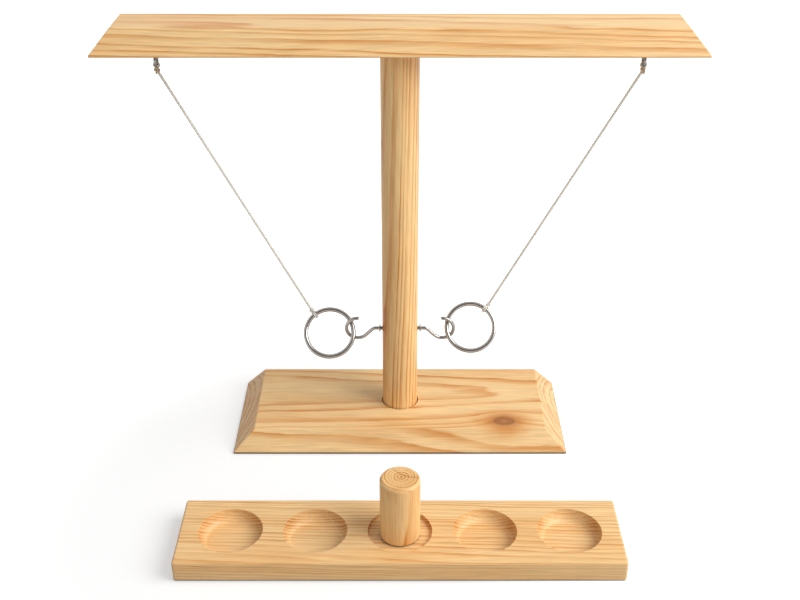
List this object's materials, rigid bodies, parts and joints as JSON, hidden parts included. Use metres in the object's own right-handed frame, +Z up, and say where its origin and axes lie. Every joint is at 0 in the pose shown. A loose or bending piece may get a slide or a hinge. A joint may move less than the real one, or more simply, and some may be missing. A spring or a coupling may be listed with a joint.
{
  "type": "hook and ring toss game",
  "caption": "Tabletop wooden game: a pole on a base carries a crossbeam, rings swing on cords to catch hooks on the pole, and a tray of round cups with a loose peg stands in front",
  "frame": {"origin": "on the table under the pole's axis, at the underside of the base board", "axes": "+Z up along the pole, +X to the right along the crossbeam as the picture sees it, +Y away from the tray and the player"},
  "size_m": [0.376, 0.2142, 0.2934],
  "materials": {
    "pine_board": "sanded, thin clear coat",
    "pine_dowel": "sanded, thin clear coat",
    "steel_ring": "polished",
    "steel_wire": "polished",
    "zinc_steel": "zinc plated",
    "cotton_cord": "twisted cotton"
  },
  "bodies": {
    "stand": {"base_board": "pine_board", "pole": "pine_dowel", "crossbeam": "pine_board", "base_dowel_screw": "zinc_steel", "beam_dowel_screw": "zinc_steel", "left_eye_screw": "zinc_steel", "right_eye_screw": "zinc_steel", "left_hook": "steel_wire", "right_hook": "steel_wire", "left_hook_collar": "steel_wire", "right_hook_collar": "steel_wire"},
    "left_cord_set": {"left_cord": "cotton_cord", "left_upper_knot": "cotton_cord"},
    "left_ring_set": {"left_ring": "steel_ring", "left_lower_knot": "cotton_cord"},
    "right_cord_set": {"right_cord": "cotton_cord", "right_upper_knot": "cotton_cord"},
    "right_ring_set": {"right_ring": "steel_ring", "right_lower_knot": "cotton_cord"},
    "tray_set": {"tray": "pine_board"},
    "peg_set": {"peg": "pine_dowel"}
  },
  "joints": [
    {"name": "left_cord_swing", "type": "hinge", "parent": "stand", "child": "left_cord_set", "pos_m": [-0.152, 0, 0.2672], "axis": [0, -1, 0], "range_deg": [0, 5]},
    {"name": "left_ring_rock", "type": "hinge", "parent": "left_cord_set", "child": "left_ring_set", "pos_m": [-0.06284, 0.00876, 0.08464], "axis": [-0.9085, 0.2686, 0.3201], "range_deg": [0, 70]},
    {"name": "right_cord_swing", "type": "hinge", "parent": "stand", "child": "right_cord_set", "pos_m": [0.152, 0, 0.2672], "axis": [0, 1, 0], "range_deg": [0, 5]},
    {"name": "right_ring_rock", "type": "hinge", "parent": "right_cord_set", "child": "right_ring_set", "pos_m": [0.06298, 0.01141, 0.0878], "axis": [-0.859, -0.3291, -0.3922], "range_deg": [0, 70]},
    {"name": "tray_slide", "type": "slide", "parent": "stand", "child": "tray_set", "axis": [0, 1, 0], "range_m": [-0.1, 0.05]},
    {"name": "peg_lift", "type": "slide", "parent": "tray_set", "child": "peg_set", "axis": [0, 0, 1], "range_m": [0, 0.05]}
  ]
}
